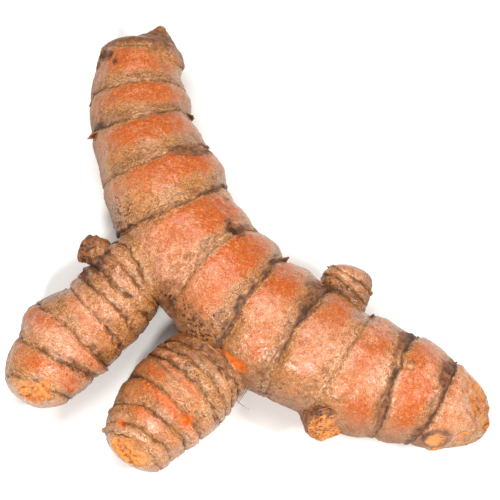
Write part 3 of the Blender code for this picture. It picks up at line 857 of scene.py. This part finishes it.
def hair_grid(f, points, row, seed):
    """A root hair: a thin tube that tapers along a bent path, out from the skin and then down."""
    distance, degrees, length, droop = row
    base, out = on_surface(f, points, np.array([distance]), np.array([degrees]))
    draw = np.random.default_rng(seed)
    share = np.linspace(0.0, 1.0, HAIR_STEPS)[:, None]
    bend = draw.normal(0.0, 0.5, 3) - [0.0, 0.0, droop]
    path = base - 0.4 * out + length * (share * out + share**2 * bend)
    run = np.gradient(path, axis=0)
    run /= np.linalg.norm(run, axis=-1, keepdims=True)
    side = np.cross(run, [0.3, 0.5, 0.8])
    side /= np.linalg.norm(side, axis=-1, keepdims=True)
    up = np.cross(run, side)
    loop = np.linspace(0.0, 2 * np.pi, HAIR_SIDES, endpoint=False)[:, None]
    reach = (HAIR_RADIUS * (1.0 - 0.7 * share))[:, None]
    return path[:, None] + reach * (np.cos(loop) * side[:, None] + np.sin(loop) * up[:, None])


def joined(grids):
    """Vertices and faces of several closed grids together, with each end closed at its loop's middle."""
    vertices, faces, count = [], [], 0
    for grid in grids:
        placed = place(grid)
        some, more = closed_grid(placed, placed[0].mean(axis=0), placed[-1].mean(axis=0))
        vertices.append(some)
        faces += [tuple(i + count for i in face) for face in more]
        count += len(some)
    return vertices, faces


def dress(limb, f, points, material):
    """The scale remains and the root hairs of one limb, a piece each."""
    if limb.scales:
        grids = [scale_grid(limb, f, points, row, limb.seed + 200 + k) for k, row in enumerate(limb.scales)]
        vertices, faces = joined(grids)
        piece = new_piece(limb.name + "_scales", np.vstack(vertices), faces, material)
        brown = [np.full(len(some), row[5]) for some, row in zip(vertices, limb.scales)]
        store(piece.data, "brown", np.concatenate(brown))
        store(piece.data, "husk", np.ones(sum(map(len, vertices))))
    if limb.hairs:
        grids = [hair_grid(f, points, row, limb.seed + 300 + k) for k, row in enumerate(limb.hairs)]
        vertices, faces = joined(grids)
        piece = new_piece(limb.name + "_hairs", np.vstack(vertices), faces, material)
        store(piece.data, "brown", np.ones(sum(map(len, vertices))))


def srgb(red, green, blue):
    """A screen colour, 0 to 255, as the linear colour of a shader."""
    c = np.array([red, green, blue]) / 255.0
    linear = np.where(c <= 0.04045, c / 12.92, ((c + 0.055) / 1.055) ** 2.4)
    return (*linear.tolist(), 1.0)


HUSK_DARK = srgb(118, 66, 28)
HUSK = srgb(176, 116, 62)
HUSK_YELLOW = srgb(184, 114, 40)
# Pale husk fibres, partly painted glints.
HUSK_FIBRE_AND_GLINT = srgb(222, 170, 122)
SALMON_DARK = srgb(184, 98, 42)
SALMON = srgb(206, 138, 84)
SALMON_FIBRE = srgb(228, 176, 136)
ORANGE_DOT = srgb(212, 130, 68)
ORANGE = srgb(202, 90, 22)
ORANGE_MOTTLE = srgb(206, 114, 44)
ORANGE_SPECK = srgb(222, 156, 98)
PORE = srgb(116, 60, 28)
PINK = srgb(208, 126, 88)
# Painted sheen, in part: the pale end of the pink patches.
PINK_SHEEN = srgb(244, 184, 152)
# Painted shade for the low side of each limb.
LOW_SIDE_PAINTED_SHADE = srgb(130, 82, 46)
# Pale peel, and a painted highlight on the lip before each ring.
PEEL_AND_LIP_SHINE = srgb(218, 168, 122)
FLAKE_EDGE = srgb(222, 168, 118)
FLAKE_CRACK = srgb(92, 48, 22)
SCALE_DARK = srgb(78, 42, 20)
SCALE = srgb(146, 88, 46)
TORN_DARK = srgb(180, 72, 12)
TORN = srgb(220, 112, 28)
FLESH_DARK = srgb(168, 78, 14)
FLESH = srgb(214, 132, 44)
FLESH_PALE = srgb(204, 138, 84)
FLESH_FLECK = srgb(216, 156, 92)
FLESH_SPECK = srgb(226, 178, 122)
FLESH_CRACK = srgb(124, 60, 22)
# Dark of earth specks and creases, partly painted shade in gaps where limbs meet.
SOIL_AND_SHADE_DARK = srgb(58, 30, 14)
TABLE = srgb(250, 250, 249)


class Nodes:
    """Adds nodes to a material's tree. A socket that is given is linked, and a number or colour is set."""

    def __init__(self, name):
        self.material = bpy.data.materials.new(name)
        self.material.use_nodes = True
        self.tree = self.material.node_tree
        self.shader = self.tree.nodes["Principled BSDF"]

    def feed(self, socket, value):
        if isinstance(value, bpy.types.NodeSocket):
            self.tree.links.new(value, socket)
        else:
            socket.default_value = value

    def attribute(self, name, vector=False):
        node = self.tree.nodes.new("ShaderNodeAttribute")
        node.attribute_name = name
        return node.outputs["Vector" if vector else "Fac"]

    def place(self):
        return self.tree.nodes.new("ShaderNodeTexCoord").outputs["Object"]

    def scaled(self, vector, scale):
        node = self.tree.nodes.new("ShaderNodeMapping")
        self.feed(node.inputs["Vector"], vector)
        node.inputs["Scale"].default_value = scale
        return node.outputs["Vector"]

    def noise(self, vector, scale, detail=3.0, roughness=0.5, distortion=0.0):
        node = self.tree.nodes.new("ShaderNodeTexNoise")
        self.feed(node.inputs["Vector"], vector)
        node.inputs["Scale"].default_value = scale
        node.inputs["Detail"].default_value = detail
        node.inputs["Roughness"].default_value = roughness
        node.inputs["Distortion"].default_value = distortion
        return node.outputs["Fac"]

    def stirred(self, vector, scale, amount):
        """The vector plus amount times a noise of its own for each part."""
        noise = self.tree.nodes.new("ShaderNodeTexNoise")
        self.feed(noise.inputs["Vector"], vector)
        noise.inputs["Scale"].default_value = scale
        node = self.tree.nodes.new("ShaderNodeVectorMath")
        node.operation = "MULTIPLY_ADD"
        self.feed(node.inputs[0], noise.outputs["Color"])
        node.inputs[1].default_value = (amount, amount, amount)
        self.feed(node.inputs[2], vector)
        return node.outputs["Vector"]

    def cells(self, vector, scale, feature="F1"):
        node = self.tree.nodes.new("ShaderNodeTexVoronoi")
        node.feature = feature
        self.feed(node.inputs["Vector"], vector)
        node.inputs["Scale"].default_value = scale
        return node.outputs["Distance"]

    def math(self, operation, a, b=0.0, clamp=False):
        node = self.tree.nodes.new("ShaderNodeMath")
        node.operation = operation
        node.use_clamp = clamp
        self.feed(node.inputs[0], a)
        self.feed(node.inputs[1], b)
        return node.outputs[0]

    def times(self, a, b):
        return self.math("MULTIPLY", a, b)

    def spread(self, value, low, high, to_low=0.0, to_high=1.0):
        """A smooth S from to_low, where the value is low, to to_high, where it is high."""
        node = self.tree.nodes.new("ShaderNodeMapRange")
        node.interpolation_type = "SMOOTHSTEP"
        for socket, given in zip(node.inputs, (value, low, high, to_low, to_high)):
            self.feed(socket, given)
        return node.outputs["Result"]

    def mix(self, share, a, b, blend="MIX"):
        node = self.tree.nodes.new("ShaderNodeMix")
        node.data_type = "RGBA"
        node.blend_type = blend
        self.feed(node.inputs["Factor"], share)
        colours = [s for s in node.inputs if s.type == "RGBA"]
        self.feed(colours[0], a)
        self.feed(colours[1], b)
        return next(s for s in node.outputs if s.type == "RGBA")

    def bump(self, height, strength, distance):
        node = self.tree.nodes.new("ShaderNodeBump")
        node.inputs["Strength"].default_value = strength
        node.inputs["Distance"].default_value = distance
        self.feed(node.inputs["Height"], height)
        return node.outputs["Normal"]


def skin_material():
    """Rhizome skin. Tan husk with fibres round the limb, which thins to salmon and blushes orange after each
    ring, and comes loose in flakes with pale edges and dark cracks. Its pale fibres are partly painted
    glints, its pale pink patches partly a painted sheen, the pale lip before each ring partly a painted
    highlight, and the low side of each limb is painted shade. Brown stains, dark creases and specks of
    earth lie over it, some specks painted shade where limbs meet, and cut or torn places show the flesh.
    The girth attribute is the place on the skin: distance along the limb, and the two parts of the way out
    from its axis."""
    n = Nodes("rhizome_skin")
    place_m = n.place()
    girth = n.attribute("girth", vector=True)
    blush, husk, brown = n.attribute("blush"), n.attribute("husk"), n.attribute("brown")
    line, soil_and_shade, flesh = n.attribute("line"), n.attribute("soil_and_shade"), n.attribute("flesh")
    vivid, peel_and_lip_shine, shade = n.attribute("vivid"), n.attribute("peel_and_lip_shine"), n.attribute("shade")
    bloom_and_sheen = n.attribute("bloom_and_sheen")

    fibre = n.noise(n.scaled(girth, (2.6, 0.6, 0.6)), 1.0, 5.0, 0.7, 0.8)
    hair = n.noise(n.scaled(girth, (5.0, 2.0, 2.0)), 1.0, 2.0, 0.6, 0.6)
    mottle = n.noise(place_m, 800.0, 6.0, 0.7, 0.3)
    patchy = n.noise(place_m, 200.0, 4.0, 0.6, 0.5)
    speck = n.noise(place_m, 3600.0, 2.0, 0.6)
    cell = n.cells(place_m, 1050.0)

    tan = n.mix(n.spread(fibre, 0.35, 0.65), HUSK_DARK, HUSK)
    tan = n.mix(n.spread(patchy, 0.42, 0.62, 0.0, 0.8), tan, HUSK_YELLOW)
    # Pale fibres on the husk, partly painted glints.
    tan = n.mix(n.spread(hair, 0.48, 0.68, 0.0, 0.75), tan, HUSK_FIBRE_AND_GLINT)
    salmon = n.mix(n.spread(mottle, 0.35, 0.65), SALMON_DARK, SALMON)
    salmon = n.mix(n.spread(hair, 0.5, 0.7, 0.0, 0.6), salmon, SALMON_FIBRE)
    orange = n.mix(n.spread(cell, 0.08, 0.5), ORANGE_DOT, ORANGE)
    orange = n.mix(n.spread(mottle, 0.5, 0.68, 0.0, 0.5), orange, ORANGE_MOTTLE)
    orange = n.mix(n.spread(speck, 0.54, 0.74, 0.0, 0.5), orange, ORANGE_SPECK)

    ripe = n.math("ADD", blush, n.times(n.math("SUBTRACT", mottle, 0.5), 1.2))
    ripe = n.math("ADD", ripe, n.times(n.math("SUBTRACT", speck, 0.5), 0.8))
    skin = n.mix(n.spread(ripe, -0.05, 0.45), tan, salmon)
    skin = n.mix(n.spread(ripe, 0.3, 0.9), skin, orange)
    skin = n.mix(n.spread(speck, 0.46, 0.28, 0.0, 0.5), skin, PORE)
    # Painted sheen, in part: the pink patches turn a pale pink.
    pink = n.mix(n.spread(mottle, 0.38, 0.6), PINK, PINK_SHEEN)
    skin = n.mix(n.times(bloom_and_sheen, n.spread(hair, 0.3, 0.6, 0.2, 0.8)), skin, pink)
    # Painted shade: the low side of each limb is mixed towards a dark brown.
    skin = n.mix(n.times(shade, 0.8), skin, LOW_SIDE_PAINTED_SHADE)
    # Pale peel, and a painted highlight on the lip before each ring.
    skin = n.mix(n.times(peel_and_lip_shine, n.spread(fibre, 0.4, 0.6)), skin, PEEL_AND_LIP_SHINE)

    flake = n.cells(n.scaled(n.stirred(girth, 0.7, 2.2), (0.45, 0.2, 0.2)), 1.0, "DISTANCE_TO_EDGE")
    loose = n.times(n.spread(patchy, 0.46, 0.56), n.spread(husk, 0.05, 0.5, 0.2, 1.0))
    raised = n.times(n.spread(flake, 0.05, 0.16, 0.45, 0.0), loose)
    skin = n.mix(raised, skin, FLAKE_EDGE)
    broken = n.times(loose, n.spread(hair, 0.4, 0.58))
    cracked = n.times(n.spread(flake, 0.02, 0.06, 0.75, 0.0), broken)
    skin = n.mix(cracked, skin, FLAKE_CRACK)

    dust = n.spread(n.noise(place_m, 4200.0, 1.0), 0.3, 0.7, 0.56, 1.04)
    skin = n.mix(1.0, skin, dust, "MULTIPLY")

    stained = n.times(brown, n.spread(fibre, 0.3, 0.55, 0.35, 1.0))
    skin = n.mix(stained, skin, n.mix(n.spread(mottle, 0.35, 0.65), SCALE_DARK, SCALE))
    torn = n.mix(n.spread(mottle, 0.35, 0.65), TORN_DARK, TORN)
    skin = n.mix(vivid, skin, torn)
    fleck = n.noise(place_m, 420.0, 5.0, 0.7, 1.5)
    pulp = n.mix(n.spread(mottle, 0.38, 0.6), FLESH_DARK, FLESH)
    pulp = n.mix(n.spread(patchy, 0.48, 0.6, 0.0, 0.6), pulp, FLESH_PALE)
    pulp = n.mix(n.spread(fleck, 0.48, 0.6, 0.0, 0.5), pulp, FLESH_FLECK)
    pulp = n.mix(n.spread(speck, 0.54, 0.7, 0.0, 0.4), pulp, FLESH_SPECK)
    pulp = n.mix(n.spread(fleck, 0.43, 0.36), pulp, FLESH_CRACK)
    skin = n.mix(flesh, skin, pulp)

    # Dark creases and specks of earth, the specks partly painted shade where limbs meet.
    crumbs = n.noise(place_m, 1500.0, 3.0, 0.7)
    dirt_and_shade = n.spread(n.math("ADD", crumbs, n.times(soil_and_shade, 0.17)), 0.66, 0.72)
    dirt_and_shade = n.math("MULTIPLY", dirt_and_shade, n.spread(soil_and_shade, 0.05, 0.4), clamp=True)
    ink = n.times(line, n.spread(crumbs, 0.3, 0.55, 0.5, 1.0))
    skin = n.mix(n.math("MAXIMUM", ink, dirt_and_shade), skin, SOIL_AND_SHADE_DARK)
    n.feed(n.shader.inputs["Base Color"], skin)

    dry = n.times(husk, 0.3)
    for mask in (brown, line, flesh, shade):
        dry = n.math("MAXIMUM", dry, mask)
    rough = n.math("ADD", n.spread(dry, 0.0, 1.0, 0.15, 0.6), n.times(mottle, 0.1))
    n.feed(n.shader.inputs["Roughness"], rough)
    n.shader.inputs["Specular IOR Level"].default_value = 0.42
    n.shader.inputs["Coat Weight"].default_value = 0.12
    n.shader.inputs["Coat Roughness"].default_value = 0.2
    height = n.noise(place_m, 1000.0, 3.0, 0.55, 0.3)
    height = n.math("ADD", height, n.times(fibre, n.spread(husk, 0.0, 1.0, 0.1, 0.4)))
    height = n.math("ADD", height, n.times(hair, 0.2))
    height = n.math("SUBTRACT", height, n.times(cracked, 0.5))
    n.feed(n.shader.inputs["Normal"], n.bump(height, 1.0, 0.0003))
    return n.material


def table_material():
    """The pale matt table top."""
    n = Nodes("pale_table")
    n.shader.inputs["Base Color"].default_value = TABLE
    n.shader.inputs["Roughness"].default_value = 0.85
    n.shader.inputs["Specular IOR Level"].default_value = 0.2
    return n.material


def add_table():
    """The table top, a flat square just under the rhizome."""
    corners = [(x * TABLE_HALF * MM, y * TABLE_HALF * MM, -TABLE_DROP * MM) for x, y in TABLE_CORNERS]
    mesh = bpy.data.meshes.new("table_top")
    mesh.from_pydata(corners, [], [(0, 1, 2, 3)])
    mesh.materials.append(table_material())
    table = bpy.data.objects.new("table_top", mesh)
    bpy.context.scene.collection.objects.link(table)


def add_light(name, place_mm, size_mm, power):
    """A square soft light, slightly warm, turned to the rhizome."""
    light = bpy.data.lights.new(name, "AREA")
    light.color = LIGHT_COLOUR
    light.size = size_mm * MM
    light.energy = power
    made = bpy.data.objects.new(name, light)
    made.location = np.array(place_mm) * MM
    aim(made, np.array(LIGHT_TARGET) * MM)
    bpy.context.scene.collection.objects.link(made)


def aim(thing, target):
    """Turns a light or camera so that its -Z axis points at the target."""
    away = thing.location - type(thing.location)(target)
    thing.rotation_euler = away.to_track_quat("Z", "Y").to_euler()


def add_camera():
    """The camera at the photograph's angle."""
    lens = bpy.data.cameras.new("camera")
    lens.lens = CAMERA_LENS
    lens.sensor_width = CAMERA_SENSOR
    lens.clip_start = 0.01
    lens.clip_end = 10.0
    camera = bpy.data.objects.new("camera", lens)
    distance = CAMERA_WIDTH * CAMERA_LENS / CAMERA_SENSOR
    tilt = np.radians(CAMERA_ELEVATION)
    target = np.array([BOX_SHIFT[0], BOX_SHIFT[1], CAMERA_TARGET_HEIGHT])
    camera.location = (target + distance * np.array([0.0, -np.cos(tilt), np.sin(tilt)])) * MM
    aim(camera, target * MM)
    bpy.context.scene.collection.objects.link(camera)
    bpy.context.scene.camera = camera


def light_studio():
    """A bright even room with a big soft light above, and a smaller one on each side of the camera."""
    world = bpy.data.worlds.new("studio")
    world.use_nodes = True
    background = world.node_tree.nodes["Background"]
    background.inputs["Color"].default_value = ROOM_COLOUR
    background.inputs["Strength"].default_value = ROOM_STRENGTH
    bpy.context.scene.world = world
    bpy.context.scene.view_settings.view_transform = "Standard"
    for light in LIGHTS:
        add_light(*light)


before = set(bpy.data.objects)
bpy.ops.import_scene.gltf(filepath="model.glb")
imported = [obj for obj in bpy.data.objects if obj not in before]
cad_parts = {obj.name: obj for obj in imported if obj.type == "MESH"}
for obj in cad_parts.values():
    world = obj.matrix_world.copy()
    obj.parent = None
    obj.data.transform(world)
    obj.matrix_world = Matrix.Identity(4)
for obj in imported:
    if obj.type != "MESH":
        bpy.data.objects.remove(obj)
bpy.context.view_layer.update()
skin = skin_material()
for each in LIMBS:
    grow(each, skin)
add_table()
add_camera()
light_studio()
